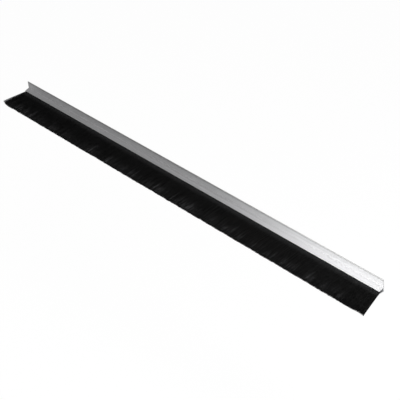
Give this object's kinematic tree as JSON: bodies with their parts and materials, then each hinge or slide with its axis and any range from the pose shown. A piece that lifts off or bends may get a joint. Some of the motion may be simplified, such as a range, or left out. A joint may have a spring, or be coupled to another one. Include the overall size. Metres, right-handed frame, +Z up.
{
  "type": "brush seal strip",
  "caption": "Long brush seal: an extruded aluminium holder with an upright flange and an angled jaw that grips a channel-backed strip brush with long black bristles.",
  "frame": {"origin": "middle of the flat back face, half way along the strip and half way up the back", "axes": "+X along the strip, -Y the side that the bristles point to, +Z up the flange away from the jaw"},
  "size_m": [1.0276, 0.0601, 0.0312],
  "materials": {
    "aluminium": "satin mill finish, extruded",
    "galvanised_steel": "bright galvanised",
    "black_nylon": "black nylon bristle, slight sheen"
  },
  "bodies": {
    "root": {"holder": "aluminium", "backing_channel": "galvanised_steel", "core_wire": "galvanised_steel", "bristles": "black_nylon"}
  },
  "joints": []
}
